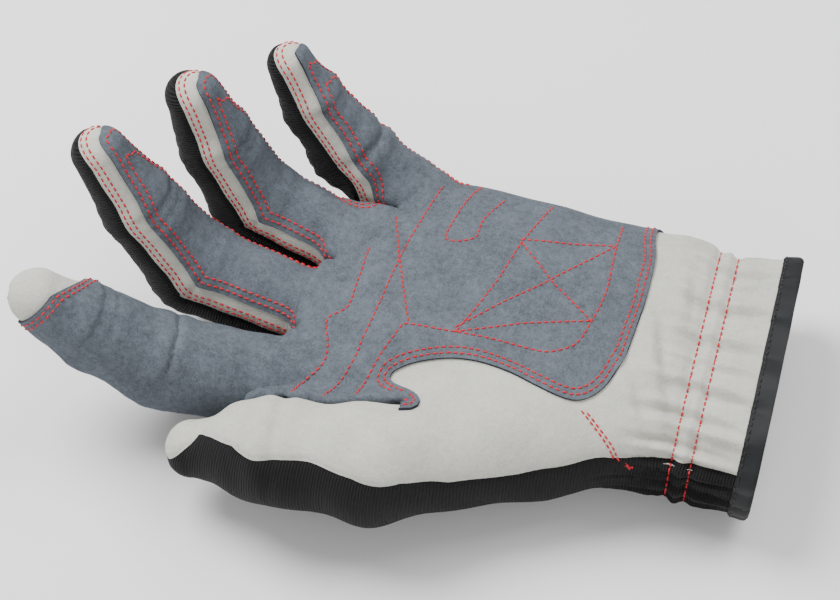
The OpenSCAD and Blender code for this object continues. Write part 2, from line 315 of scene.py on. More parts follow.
# ---------------------------------------------------------------- where each point lies on the hand
def finger_place(p, f):
    """Length along the finger, angle from its palm side, local radius, and a length for knit ribs."""
    c = CHAINS[f]
    side = across(FAN[f])
    best = None
    start = 0.0
    for s in range(3):
        d = c[s + 1] - c[s]
        length = np.linalg.norm(d)
        t = np.clip((p - c[s]) @ (d / length) / length, 0, 1)
        r = HIGH[f][s] + (HIGH[f][s + 1] - HIGH[f][s]) * t
        near = c[s] + t[:, None] * d
        e = np.linalg.norm(p - near, axis=1) - r
        place = start + t * length
        if best is None:
            best, at, length_at = e, near, place
        else:
            closer = e < best
            best = np.where(closer, e, best)
            at = np.where(closer[:, None], near, at)
            length_at = np.where(closer, place, length_at)
        start += length
    ends = np.cumsum(LONG[f])
    rise = (RISE[f][0]
            + (RISE[f][1] - RISE[f][0]) * smoothstep(length_at, ends[0] - 7, ends[0] + 7)
            + (RISE[f][2] - RISE[f][1]) * smoothstep(length_at, ends[1] - 6, ends[1] + 6))
    yaw = np.full(len(p), float(FAN[f]))
    out, ahead = outward(yaw, rise), along(yaw, rise)
    offset = p - at
    n = (offset * out).sum(1)
    a = (offset * ahead).sum(1)
    over = np.where(length_at > ends[2] - 0.01, np.maximum(a, 0), 0)
    lateral = offset @ side
    radius = np.sqrt(n ** 2 + lateral ** 2 + over ** 2)
    angle = np.degrees(np.arccos(np.clip(n / np.maximum(radius, 1e-6), -1, 1)))
    return dict(s=length_at, a=angle, r=radius, tip=over / np.maximum(radius, 1e-6),
                side=lateral, rib=length_at + a, n=n)


def finger_seam(place, f):
    """Distance along the surface from the seam between front and back, positive on the palm side."""
    half = 78 + 28 * place["tip"] ** 2
    if f == 0:
        half = np.where(place["side"] < 0, 78 + 40 * smoothstep(-place["side"], 0, 8), half)
        half = half + 34 * smoothstep(place["s"] + 12 * place["tip"], 62, 86)
    return np.radians(half - place["a"]) * np.minimum(place["r"], 14)


SEAM_X = [-48, -40, -28, -14, 8, 21, 33, 50, 74, 97, 112]
SEAM_Z = [20, 30, 36, 38, 38, 36, 30.5, 28, 28, 30, 31]


SIDE_X = [-42, -19, 14, 33, 50, 74]
SIDE_Y = [83, 85, 81, 68, 55, 44]
INNER_SEAM = 12.0


def radial_height(p):
    """Height of the seam: along the thumb side it is high, and inside the thumb's crotch it is low."""
    edge = np.interp(p[:, 0], SIDE_X, SIDE_Y)
    outer = smoothstep(-p[:, 1], edge - 23, edge - 11)
    return INNER_SEAM + (np.interp(p[:, 0], SEAM_X, SEAM_Z) - INNER_SEAM) * outer


def palm_seam(p):
    ulnar = np.interp(p[:, 0], [-20, 60, 110], [19, 20, 22])
    return p[:, 2] - np.where(p[:, 1] < 0, radial_height(p), ulnar)


def thumb_seam(p):
    return p[:, 2] - radial_height(p)


def closest_weights(distances, softness):
    d = np.stack(distances)
    w = np.exp(-(d - d.min(0)) / softness)
    return w / w.sum(0)


OVERLAY_EDGE = [
    (62, 70), (63, 36), (66, 22), (67.5, 9), (68, -4), (67.5, -17), (65, -26), (60, -31.5), (54, -33),
    (46, -32), (38, -30), (29, -29), (20, -30), (12, -33), (7, -36.5), (5, -39.5), (8, -42), (14, -44),
    (17.5, -48), (17, -52), (12, -54.5), (4, -57), (-6, -62), (-24, -72), (-60, -80), (-130, -80), (-130, 70),
]


def curve(points, step=1.0, closed=False):
    """A Catmull-Rom curve through given points, resampled evenly."""
    pts = np.array(points, float)
    n = len(pts)
    if closed:
        ext = np.vstack([pts[-1], pts, pts[:2]])
    else:
        ext = np.vstack([2 * pts[0] - pts[1], pts, 2 * pts[-1] - pts[-2]])
    out = []
    for i in range(n if closed else n - 1):
        a, b, c, d = ext[i:i + 4]
        for t in np.linspace(0, 1, 12, endpoint=False):
            out.append(0.5 * (2 * b + (c - a) * t + (2 * a - 5 * b + 4 * c - d) * t ** 2
                              + (3 * b - a - 3 * c + d) * t ** 3))
    out.append(pts[0] if closed else pts[-1])
    return resample(np.array(out), step)


def resample(line, step):
    gap = np.linalg.norm(np.diff(line, axis=0), axis=1)
    length = np.concatenate([[0], np.cumsum(gap)])
    n = max(int(round(length[-1] / step)), 1)
    at = np.linspace(0, length[-1], n + 1)
    return np.stack([np.interp(at, length, line[:, k]) for k in range(line.shape[1])], 1)


def line_distance(xy, line):
    """Shortest distance in plan from points to a polyline."""
    best = np.full(len(xy), 1e9)
    for a, b in zip(line[:-1], line[1:]):
        d = b - a
        t = np.clip(((xy - a) @ d) / max(d @ d, 1e-12), 0, 1)
        best = np.minimum(best, np.hypot(*(xy - a - t[:, None] * d).T))
    return best


def inside_outline(xy, line):
    """Signed distance in plan to a closed outline, positive inside."""
    x, y = xy.T
    inside = np.zeros(len(xy), bool)
    for (ax, ay), (bx, by) in zip(line[:-1], line[1:]):
        crosses = (ay > y) != (by > y)
        with np.errstate(divide="ignore", invalid="ignore"):
            at = (bx - ax) * (y - ay) / (by - ay) + ax
        inside ^= crosses & (x < at)
    return np.where(inside, 1, -1) * line_distance(xy, line)


# ---------------------------------------------------------------- cutting a mesh along a field
class Sheet:
    """Vertices with any number of columns (x, y, z first), and triangles."""

    def __init__(self, data, tris):
        self.data, self.tris = data, tris

    def compact(self):
        used = np.unique(self.tris)
        new = np.full(len(self.data), -1)
        new[used] = np.arange(len(used))
        return Sheet(self.data[used], new[self.tris])

    def cut(self, field):
        """The part where field > 0, with the edge exactly on zero; a point on the line is not cut again."""
        on_line = np.abs(field) < 1e-5
        keep = (field > 0) & ~on_line
        tri_keep = keep[self.tris]
        n_in = tri_keep.sum(1)
        whole = self.tris[n_in == 3]
        edges = {}
        new_rows = []
        base = len(self.data)
        out = []

        def crossing(i, j):
            if on_line[i] or on_line[j]:
                return i if on_line[i] else j
            key = (i, j) if i < j else (j, i)
            if key not in edges:
                a, b = key
                t = field[a] / (field[a] - field[b])
                new_rows.append(self.data[a] * (1 - t) + self.data[b] * t)
                edges[key] = base + len(new_rows) - 1
            return edges[key]

        for tri, flags in zip(self.tris[(n_in == 1) | (n_in == 2)].tolist(),
                              tri_keep[(n_in == 1) | (n_in == 2)].tolist()):
            odd = flags.index(True) if sum(flags) == 1 else flags.index(False)
            a, b, c = tri[odd], tri[(odd + 1) % 3], tri[(odd + 2) % 3]
            ab, ca = crossing(a, b), crossing(c, a)
            if sum(flags) == 1:
                out.append((a, ab, ca))
            else:
                out.append((ab, b, c))
                out.append((ab, c, ca))
        out = [t for t in out if len(set(t)) == 3]
        data = np.vstack([self.data] + ([np.array(new_rows)] if new_rows else []))
        tris = np.vstack([whole] + ([np.array(out)] if out else []))
        if len(tris) == 0:
            return Sheet(data[:0], tris)
        return Sheet(data, tris.astype(int)).compact()


def without_specks(sheet, least=60):
    """The sheet without any loose patch of fewer than so many triangles."""
    parent = list(range(len(sheet.data)))

    def top(i):
        while parent[i] != i:
            parent[i] = parent[parent[i]]
            i = parent[i]
        return i

    for a, b, c in sheet.tris.tolist():
        ra = top(a)
        for other in (b, c):
            ro = top(other)
            if ro != ra:
                parent[ro] = ra
    roots = np.array([top(i) for i in sheet.tris[:, 0].tolist()])
    names, counts = np.unique(roots, return_counts=True)
    kept = sheet.tris[np.isin(roots, names[counts >= least])]
    return Sheet(sheet.data, kept).compact() if len(kept) else Sheet(sheet.data[:0], kept)


def contour(sheet, field, columns):
    """Polylines along field = 0, with the wanted columns interpolated."""
    field = np.where(np.abs(field) < 1e-6, 1e-6, field)
    sign = (field > 0)[sheet.tris]
    mixed = sheet.tris[(sign.sum(1) == 1) | (sign.sum(1) == 2)].tolist()
    rows, ids, links = [], {}, {}

    def point(i, j):
        key = (i, j) if i < j else (j, i)
        if key not in ids:
            a, b = key
            t = field[a] / (field[a] - field[b])
            rows.append(sheet.data[a, columns] * (1 - t) + sheet.data[b, columns] * t)
            ids[key] = len(rows) - 1
        return ids[key]

    for tri in mixed:
        ends = [point(tri[k], tri[(k + 1) % 3]) for k in range(3)
                if (field[tri[k]] > 0) != (field[tri[(k + 1) % 3]] > 0)]
        links.setdefault(ends[0], []).append(ends[1])
        links.setdefault(ends[1], []).append(ends[0])
    rows = np.array(rows)
    lines, seen = [], set()
    starts = sorted(links, key=lambda k: (len(links[k]), k))
    for first in starts:
        if first in seen:
            continue
        line, here = [first], first
        seen.add(first)
        while True:
            onward = [k for k in links[here] if k not in seen]
            if not onward:
                break
            here = onward[0]
            seen.add(here)
            line.append(here)
        if first in links[here] and len(line) > 3:
            line.append(first)
        if len(line) > 3:
            lines.append(rows[line])
    return lines


# ---------------------------------------------------------------- the glove's fields
Q, O, RIB, GAP = range(6, 10)
COLS_REGION = 10
CAP, INDEX, THUMBNESS, PLAN = range(15, 19)


# Wrinkles across the wrist: middle x and y, turn in radians, and height
WRIST_WRINKLES = [(73, -8, 0.35, 0.9), (77, 12, 0.2, 0.7), (70, -24, 0.6, 0.8), (79, -22, 0.4, 0.6)]


def folds(p, places, weights, gap_to_seam):
    """How far the cloth stands above or below the plain shape, in millimetres."""
    w_palm, w_thumb = weights[4], weights[5]
    x, y, z = p.T
    lx = lean(p)
    arc = np.arctan2(z - 20, (y - 3) * 0.55) * 28
    top = smoothstep(z, 18, 30)
    out = np.zeros(len(p))
    # gathers of the elastic, fading towards the palm and the cuff mouth
    wave = (np.sin(arc * 1.15 + 0.6 * np.sin(arc * 0.31) + 0.05 * x)
            + 0.55 * np.sin(arc * 2.05 + 1.7 + 0.9 * np.sin(arc * 0.23)))
    near = bump(lx - ROWS[0] + 3, 9) + bump(lx - ROWS[1] - 4, 8)
    out += 0.95 * wave * np.clip(near, 0, 1)
    out += 0.5 * np.sin(arc * 0.55 + 0.09 * x) * smoothstep(lx, 60, 80)
    for row in ROWS:
        out -= 1.0 * bump(lx - row, 1.5)
    out += 0.6 * bump(lx - sum(ROWS) / 2, 1.6)
    # long soft wrinkles across the wrist
    for cx, cy, turn, amount in WRIST_WRINKLES:
        u = (x - cx) * math.cos(turn) + (y - cy) * math.sin(turn)
        v = -(x - cx) * math.sin(turn) + (y - cy) * math.cos(turn)
        out += amount * (bump(u, 2.2) - 0.8 * bump(u - 3.6, 1.8)) * bump(v, 13) * top
    # creases in the palm: under the fingers, and round the ball of the thumb
    step = curve([(-9, 42), (-10, 30), (-12, 20), (-15, 9), (-18, -2), (-19, -12)], 3)
    d = line_distance(p[:, :2], step)
    out -= 0.9 * bump(d, 1.8) * top * w_palm
    for line, amount, width in (
            ([(30, -52), (18, -47), (6, -50), (-8, -55)], 1.2, 3.0),
            ([(-2, -38), (-9, -30), (-12, -18)], 0.7, 2.5),
            ([(26, 30), (12, 20), (2, 4), (-4, -16)], 0.45, 4.0)):
        out -= amount * bump(line_distance(p[:, :2], curve(line, 3)), width) * top * w_palm
    out += 0.35 * np.sin(x * 0.21 + y * 0.13) * np.sin(y * 0.17 - x * 0.05 + 1) * w_palm
    # creases across the joints of the fingers, deepest on the palm side
    for f in range(4):
        place, w = places[f], weights[f]
        ends = np.cumsum(LONG[f])
        palm_side = smoothstep(-place["a"], -95, -30)
        back_side = smoothstep(place["a"], 95, 150)
        for at, amount in ((ends[0], 1.0), (ends[1], 0.55)):
            ds = place["s"] - at
            out += w * amount * palm_side * (0.75 * bump(ds - 5.5, 3.2) + 0.75 * bump(ds + 5.5, 3.2)
                                             - 1.3 * bump(ds - 1.2, 1.5) - 0.7 * bump(ds + 2.6, 1.3))
            out += w * 0.35 * amount * back_side * np.sin((place["rib"] - at) * 1.3) * bump(ds, 9)
        out += w * 0.22 * np.sin(place["rib"] * 0.42 + f) * np.sin(np.radians(place["a"]) * 2.3 + f)
    t = (p - THUMB[2]) @ np.array([1, 0.18, 0])
    out += w_thumb * (0.35 * np.sin(x * 0.33 + z * 0.2)
                      - 0.8 * bump(t - 2, 2.0) * top + 0.4 * bump(t + 4, 3) * top)
    # every seam pulls the cloth in a little
    out -= 0.55 * bump(gap_to_seam, 1.1)
    return out


def kd_of(points):
    tree = kdtree.KDTree(len(points))
    for i, q in enumerate(points):
        tree.insert(q, i)
    tree.balance()
    return tree


def distance_to(points, tree, reach):
    return np.array([tree.find(q)[2] if r else 99.0 for q, r in zip(points, reach)])


def build_glove():
    p, tris = glove_surface()
    finger_d = [finger_distance(p, f) for f in range(4)]
    d = finger_d + [palm_distance(p), thumb_distance(p)]
    weights = closest_weights(d, 1.6)
    places = [finger_place(p, f) for f in range(4)]
    seams = [finger_seam(places[f], f) for f in range(4)] + [palm_seam(p), thumb_seam(p)]
    q = sum(w * s for w, s in zip(weights, seams))
    rib = sum(w * places[f]["rib"] for f, w in enumerate(weights[:4])) + (1 - sum(weights[:4])) * -p[:, 0]
    plain = Sheet(np.column_stack([p, np.zeros((len(p), 3)), q, q * 0, rib, q * 0]), tris)
    seam_lines = contour(plain, q, [0, 1, 2])
    seam_points = np.vstack(seam_lines)
    gap = distance_to(p, kd_of(seam_points), np.abs(q) < 24)
    w_index = weights[0]
    # strip of the pale panel that the overlay leaves bare; none on the index finger or beside the thumb
    bare = STRIP_W * (1 - w_index) * (1 - smoothstep(-p[:, 1], 33, 42) * smoothstep(-p[:, 0], -16, 0))
    side = sum(weights[f] * places[f]["side"] for f in (1, 2, 3))
    bare = bare * (1 - 0.45 * smoothstep(side, 0, 5) * sum(weights[1:4]))
    plan = inside_outline(p[:, :2], curve(OVERLAY_EDGE, 2.5, closed=True))
    beside = beside_thumb(p)
    overlay = np.minimum(plan, np.where(q > 0, gap, -gap) - bare)
    overlay = np.where(p[:, 0] < THUMB_CROTCH[0], np.minimum(overlay, beside), overlay)
    tilt = 0.55 * places[0]["side"] + 0.35 * np.abs(places[0]["side"] + 3)
    cap = places[0]["s"] + places[0]["tip"] * places[0]["r"] - CAP_START + tilt
    cap = np.where(w_index > 0.5, cap, -20)
    overlay = np.where(w_index > 0.5, np.minimum(overlay, -cap), overlay)
    n = vertex_normals(p, tris)
    p = p + folds(p, places, weights, gap)[:, None] * n
    n = vertex_normals(p, tris)
    parts = d[:4] + [d[5]]
    region = [np.minimum.reduce([e for k, e in enumerate(parts) if k != f]) - parts[f] for f in range(4)]
    region = np.stack(region + [-beside], 1)
    data = np.column_stack([p, n, q, overlay, rib, gap, region, cap, w_index, weights[5], plan])
    return Sheet(data, tris)


whole_glove = build_glove()
glove = whole_glove.cut(CUFF_END - 0.8 - lean(whole_glove.data[:, :3]))

# ---------------------------------------------------------------- pieces cut at the joints
FINGER_START = [-28.5, -28.5, -26.5, -15.5]
KNUCKLE_ZONE = [14, 14, 14, 9]
BASE_SPLIT = [0.55, 0.5, 0.55, 0.62]
THUMB_START = 4.0
THUMB_SPLIT = -11.0
WRIST_START = 66.0
WRIST_ZONE = (67.0, 86.0)


class Chunk:
    """One stretch of the glove: its body or the two bodies on either side of it, and the planes round it."""

    def __init__(self, name, bodies, start=None, end=None):
        self.name, self.bodies, self.start, self.end = name, bodies, start, end
        self.tests = []

    def within(self, data):
        out = np.full(len(data), 1e3)
        for test in self.tests:
            out = np.minimum(out, test(data))
        return out


def plane(point, direction):
    return lambda data: (data[:, :3] - point) @ np.asarray(direction, float)


def owner(k):
    return lambda data: data[:, COLS_REGION + k]


def invert(test):
    return lambda data: -test(data)


def make_chunks():
    chunks = []
    for f, finger in enumerate(FINGERS):
        c = CHAINS[f]
        d = [along(FAN[f], RISE[f][s]) for s in range(3)]
        first = np.array([FINGER_START[f], c[0][1], c[0][2]])
        back = np.array([-1.0, 0, 0])
        split1 = plane(c[0] + d[0] * LONG[f][0] * BASE_SPLIT[f], d[0])
        split2 = plane(c[1] + d[1] * LONG[f][1] * 0.5, d[1])
        zone = 9 if f < 3 else 7
        spans = [
            (Chunk(finger + "_base", ("palm", finger + "_base"), first, first + back * KNUCKLE_ZONE[f]),
             [plane(first, back), owner(f), invert(split1)]),
            (Chunk(finger + "_mid", (finger + "_base", finger + "_mid"),
                   c[1] - d[0] * zone, c[1] + d[1] * zone),
             [plane(first, back), owner(f), split1, invert(split2)]),
            (Chunk(finger + "_tip", (finger + "_mid", finger + "_tip"), c[2] - d[1] * 7, c[2] + d[2] * 7),
             [plane(first, back), owner(f), split1, split2]),
        ]
        for chunk, tests in spans:
            chunk.tests = tests
            chunks.append(chunk)
    start = np.array([THUMB_START, THUMB[1][1], THUMB[1][2]])
    back = np.array([-1.0, 0, 0])
    split = plane([THUMB_SPLIT, 0, 0], back)
    base = Chunk("thumb_base", ("palm", "thumb_base"), start, start + back * 13)
    base.tests = [plane(start, back), owner(4), invert(split)]
    tip = Chunk("thumb_tip", ("thumb_base", "thumb_tip"), THUMB[2] - back * 7, THUMB[2] + back * 7)
    tip.tests = [owner(4), split]
    wrist = Chunk("cuff", ("palm", "cuff"), [WRIST_ZONE[0], 0, 20], [WRIST_ZONE[1], 0, 20])
    wrist.tests = [plane([WRIST_START, 0, 0], [1, 0, 0])]
    return chunks + [base, tip, wrist]


CHUNKS = make_chunks()
PALM = Chunk("palm", ("palm",))


def split_chunks(sheet):
    """The sheet cut into its chunks, with what is left belonging to the palm."""
    parts = []
    rest = sheet
    for chunk in CHUNKS:
        field = chunk.within(rest.data)
        if (field > 0).sum() < 3:
            continue
        parts.append((chunk, without_specks(rest.cut(field))))
        rest = rest.cut(-field)
    parts.append((PALM, without_specks(rest)))
    return [(c, part) for c, part in parts if len(part.tris)]


def chunk_of_points():
    ids = np.full(len(glove.data), len(CHUNKS))
    for k, chunk in enumerate(CHUNKS):
        ids[(chunk.within(glove.data) > 0) & (ids == len(CHUNKS))] = k
    return ids


CHUNK_IDS = chunk_of_points()
GLOVE_TREE = kd_of(glove.data[:, :3])


def attach(obj, chunk):
    if len(chunk.bodies) == 1:
        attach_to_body(obj, chunk.bodies[0])
    else:
        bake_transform(obj)
    return obj


def make_object(name, points, faces, materials, index=None, normals=None, rib=None):
    """A mesh object from hand millimetres, with its rest place kept for the materials."""
    mesh = bpy.data.meshes.new(name)
    mesh.from_pydata(((points - ORIGIN) * MM).tolist(), [], [list(f) for f in faces])
    for material in materials:
        mesh.materials.append(material)
    if index is not None:
        mesh.polygons.foreach_set("material_index", np.asarray(index, np.int32))
    mesh.polygons.foreach_set("use_smooth", np.full(len(mesh.polygons), True))
    place = mesh.attributes.new("rest", "FLOAT_VECTOR", "POINT")
    place.data.foreach_set("vector", np.asarray(points, np.float32).ravel())
    if rib is not None:
        mesh.attributes.new("rib", "FLOAT", "POINT").data.foreach_set("value", np.asarray(rib, np.float32))
    mesh.update()
    if normals is not None:
        mesh.normals_split_custom_set_from_vertices(normals.tolist())
    obj = bpy.data.objects.new(name, mesh)
    bpy.context.scene.collection.objects.link(obj)
    return obj


def panel(name, sheet, lift, thick, materials):
    """A closed panel: the sheet raised by lift, its inner face, and a rim along its edges."""
    p, n, tris = sheet.data[:, :3], sheet.data[:, 3:6], sheet.tris
    n = n / np.maximum(np.linalg.norm(n, axis=1), 1e-9)[:, None]
    count = len(p)
    edges = np.concatenate([tris[:, [0, 1]], tris[:, [1, 2]], tris[:, [2, 0]]])
    key = np.sort(edges, 1) @ np.array([count, 1])
    _, first, times = np.unique(key, return_index=True, return_counts=True)
    border = edges[first[times == 1]]
    a, b = border.T
    outer, inner = p + n * lift, p + n * (lift - thick)
    rim = np.concatenate([outer[a], outer[b], inner[b], inner[a]])
    m = len(border)
    away = np.cross(p[b] - p[a], n[a])
    away /= np.maximum(np.linalg.norm(away, axis=1), 1e-9)[:, None]
    start = 2 * count
    quads = np.stack([start + np.arange(m) + k * m for k in (1, 0, 3, 2)], 1)
    faces = tris.tolist() + (tris[:, ::-1] + count).tolist() + quads.tolist()
    # the rim takes the second material when there is one, which for the suede panels is the painted shade of
    # the edge step
    index = [0] * len(tris) + [0] * len(tris) + [1 if len(materials) > 1 else 0] * m
    normals = np.concatenate([n, -n] + [away] * 4)
    rib = sheet.data[:, RIB]
    rib = np.concatenate([rib, rib, rib[a], rib[b], rib[b], rib[a]])
    return make_object(name, np.concatenate([outer, inner, rim]), faces, materials, index, normals, rib)


# ---------------------------------------------------------------- materials
class Nodes:
    """A short way to wire a material's nodes."""

    def __init__(self, name):
        self.material = bpy.data.materials.new(name)
        self.material.use_nodes = True
        self.tree = self.material.node_tree
        self.shader = self.tree.nodes["Principled BSDF"]

    def node(self, kind, **values):
        made = self.tree.nodes.new(kind)
        for key, value in values.items():
            if hasattr(made, key):
                setattr(made, key, value)
            else:
                made.inputs[key.replace("_", " ")].default_value = value
        return made

    def link(self, out, to):
        self.tree.links.new(out, to)

    def math(self, operation, a, b=None):
        made = self.node("ShaderNodeMath", operation=operation)
        for socket, value in zip(made.inputs, (a, b)):
            if value is None:
                continue
            if isinstance(value, (int, float)):
                socket.default_value = value
            else:
                self.link(value, socket)
        return made.outputs[0]

    def noise(self, place, scale, detail=2.0, rough=0.55):
        made = self.node("ShaderNodeTexNoise", Scale=scale, Detail=detail, Roughness=rough)
        self.link(place, made.inputs["Vector"])
        return made.outputs["Fac"]

    def attribute(self, name, output):
        made = self.node("ShaderNodeAttribute", attribute_name=name)
        return made.outputs[output]

    def ramp(self, factor, stops):
        made = self.node("ShaderNodeValToRGB")
        ramp = made.color_ramp
        while len(ramp.elements) < len(stops):
            ramp.elements.new(0.5)
        for element, (at, colour) in zip(ramp.elements, stops):
            element.position = at
            element.color = (*colour, 1)
        self.link(factor, made.inputs[0])
        return made.outputs[0]

    def bump(self, height, distance, strength=1.0, normal=None):
        made = self.node("ShaderNodeBump", Distance=distance, Strength=strength)
        self.link(height, made.inputs["Height"])
        if normal is not None:
            self.link(normal, made.inputs["Normal"])
        return made.outputs[0]


def shade(colour, factor):
    return tuple(c * factor for c in colour)


def suede(name, colour, spread, sheen):
    m = Nodes(name)
    place = m.attribute("rest", "Vector")
    grain = m.noise(place, 1.9, 4.0, 0.65)
    cloud = m.noise(place, 0.11, 3.0)
    pile = m.noise(place, 0.55, 3.0, 0.6)
    mixed = m.math("ADD", m.math("MULTIPLY", grain, 0.45),
                   m.math("ADD", m.math("MULTIPLY", cloud, 0.25), m.math("MULTIPLY", pile, 0.3)))
    stops = [(0.36, shade(colour, 1 - spread)), (0.5, colour), (0.64, shade(colour, 1 + spread))]
    m.link(m.ramp(mixed, stops), m.shader.inputs["Base Color"])
    m.link(m.bump(grain, 0.00022, 0.9, m.bump(pile, 0.00035, 0.6)), m.shader.inputs["Normal"])
    m.shader.inputs["Roughness"].default_value = 0.92
    m.shader.inputs["Specular IOR Level"].default_value = 0.18
    m.shader.inputs["Sheen Weight"].default_value = sheen
    m.shader.inputs["Sheen Roughness"].default_value = 0.55
    return m.material


def knit(name):
    """Fine ribs across the hand, each a row of small loops."""
    m = Nodes(name)
    place = m.attribute("rest", "Vector")
    rib = m.attribute("rib", "Fac")
    ribs = m.math("SINE", m.math("MULTIPLY", rib, 2 * math.pi / 0.85))
    loops = m.noise(place, 2.6, 1.5)
    height = m.math("ADD", m.math("MULTIPLY", ribs, 0.5), loops)
    # The colour follows the rib and loop height: painted shade in the hollows between the ribs and a painted
    # highlight on their crests.
    m.link(m.ramp(m.math("ADD", m.math("MULTIPLY", height, 0.5), 0.25),
                  [(0.2, (0.001, 0.001, 0.0012)), (0.55, (0.0028, 0.0028, 0.0034)),
                   (0.9, (0.012, 0.012, 0.014))]),
           m.shader.inputs["Base Color"])
    m.link(m.bump(height, 0.0004, 1.0), m.shader.inputs["Normal"])
    m.shader.inputs["Roughness"].default_value = 0.8
    m.shader.inputs["Specular IOR Level"].default_value = 0.3
    m.shader.inputs["Sheen Weight"].default_value = 0.0
    return m.material


def plain_cloth(name, colour, spread, rough, scale, depth):
    m = Nodes(name)
    place = m.attribute("rest", "Vector")
    grain = m.noise(place, scale, 3.0)
    m.link(m.ramp(grain, [(0.3, shade(colour, 1 - spread)), (0.7, shade(colour, 1 + spread))]),
           m.shader.inputs["Base Color"])
    m.link(m.bump(grain, depth, 0.8), m.shader.inputs["Normal"])
    m.shader.inputs["Roughness"].default_value = rough
    m.shader.inputs["Specular IOR Level"].default_value = 0.35
    return m.material


PALE = suede("pale_suede", (0.49, 0.487, 0.435), 0.13, 0.04)
GREY = suede("grey_suede", (0.088, 0.102, 0.122), 0.42, 0.0)
KNIT = knit("black_knit")
# The panel rims take a much darker copy of the grey suede: painted shade along the edge steps of the panels.
RIM_SHADE = plain_cloth("rim_painted_shade", (0.020, 0.024, 0.034), 0.3, 0.85, 2.0, 0.0001)
RED = plain_cloth("red_thread", (0.50, 0.008, 0.014), 0.3, 0.5, 4.0, 0.00008)
BLACK_THREAD = plain_cloth("black_thread", (0.008, 0.008, 0.009), 0.3, 0.5, 4.0, 0.00008)
TAPE = plain_cloth("black_binding", (0.0035, 0.004, 0.005), 0.25, 0.6, 3.2, 0.00006)
ELASTIC = plain_cloth("white_elastic", (0.7, 0.7, 0.66), 0.12, 0.8, 1.6, 0.0003)

# ---------------------------------------------------------------- panels
for chunk, part in split_chunks(glove.cut(glove.data[:, Q])):
    nodes = {"palm": ["palm_front", "heel_front", "web_index_middle", "web_middle_ring", "web_ring_little"],
             "index_tip": ["index_tip_front", "index_tip_cap"]}.get(chunk.name, [chunk.name + "_front"])
    obj = attach(panel(chunk.name + "_pale_front", part, 0, SUEDE_T, [PALE, RIM_SHADE]), chunk)
    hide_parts(*nodes)
for chunk, part in split_chunks(glove.cut(-glove.data[:, Q])):
    obj = attach(panel(chunk.name + "_knit_back", part, 0, SUEDE_T, [KNIT]), chunk)
    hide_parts(*(["back_panel"] if chunk.name == "palm" else [chunk.name + "_back"]))
overlay = glove.cut(np.minimum(glove.data[:, O], glove.data[:, Q]))
for chunk, part in split_chunks(overlay):
    obj = attach(panel(chunk.name + "_grey_overlay", part, OVERLAY_T, OVERLAY_T, [GREY, RIM_SHADE]), chunk)
    if chunk.name == "palm":
        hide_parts("palm_overlay", "heel_overlay")
    elif not chunk.name.startswith(("thumb", "index", "cuff")):
        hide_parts(chunk.name + "_overlay")

# ---------------------------------------------------------------- stitches
SURFACE = BVHTree.FromPolygons(glove.data[:, :3].tolist(), glove.tris.tolist())
PITCH = 2.0
STITCH = 1.45
THREAD_R = 0.27
stitches = {"red_thread": [], "black_thread": []}


def sew(line, lift, kind="red_thread", pitch=PITCH):
    """Dashes along a polyline of positions and normals, lifted off the cloth."""
    gap = np.linalg.norm(np.diff(line[:, :3], axis=0), axis=1)
    length = np.concatenate([[0], np.cumsum(gap)])
    if length[-1] < pitch:
        return
    for at in np.arange(pitch * 0.5, length[-1], pitch):
        ends = [np.array([np.interp(at + half, length, line[:, k]) for k in range(6)])
                for half in (-STITCH / 2, STITCH / 2)]
        n = ends[0][3:] + ends[1][3:]
        n /= max(np.linalg.norm(n), 1e-9)
        mid = (ends[0][:3] + ends[1][:3]) / 2
        run = ends[1][:3] - ends[0][:3]
        size = np.linalg.norm(run)
        if size < STITCH * 0.5:
            continue
        stitches[kind].append((mid + n * lift, run / size, n))


def rows_along(sheet, field, offsets, lift, keep, kind="red_thread"):
    """Rows at a distance from a field's zero line, where keep() allows."""
    columns = list(range(sheet.data.shape[1]))
    for offset in offsets:
        for line in contour(sheet, field - offset, columns):
            good = keep(line)
            runs = np.flatnonzero(np.diff(np.concatenate([[0], good.astype(int), [0]])))
            for a, b in zip(runs[::2], runs[1::2]):
                if b - a > 2:
                    sew(line[a:b, :6], lift, kind)


def drop(points, step=1.0):
    """A polyline of the plan, laid on the palm."""
    line = resample(np.array(points, float), step)
    found = []
    for x, y in line:
        place, normal, _, _ = SURFACE.ray_cast(Vector((x, y, 130)), Vector((0, 0, -1)))
        if place is not None:
            found.append([*place, *normal])
    return np.array(found)


def light_strip(line):
    return (line[:, Q] > 0) & (line[:, INDEX] < 0.4) & (line[:, THUMBNESS] < 0.3) & (line[:, 0] < 2)


def overlay_row(line):
    hidden = (line[:, INDEX] > 0.5) & (line[:, 0] < -48)
    inner = (line[:, PLAN] > line[:, O] + 0.4) & (line[:, 0] > 4)
    beside = (line[:, 0] < THUMB_CROTCH[0]) & (np.abs(beside_thumb(line[:, :3])) < 4)
    return (line[:, Q] > 0) & ~hidden & ~inner & ~beside


def cap_row(line):
    return (line[:, INDEX] > 0.5) & (line[:, Q] > 0.6)


TOP = OVERLAY_T + 0.1
rows_along(glove, glove.data[:, GAP], (1.5, 3.2), 0.1, light_strip)
rows_along(glove, glove.data[:, O], (1.5, 3.3), TOP, overlay_row)
rows_along(glove, -glove.data[:, CAP], (1.3, 3.0), TOP, cap_row)
for row in ROWS:
    for line in contour(glove, lean(glove.data[:, :3]) - row, list(range(6))):
        sew(line, 0.15)
binding_row = CUFF_END - BINDING_W + BINDING_ROW_IN
for line in contour(whole_glove, lean(whole_glove.data[:, :3]) - binding_row, list(range(6))):
    sew(line, BINDING_LIFT, "black_thread")

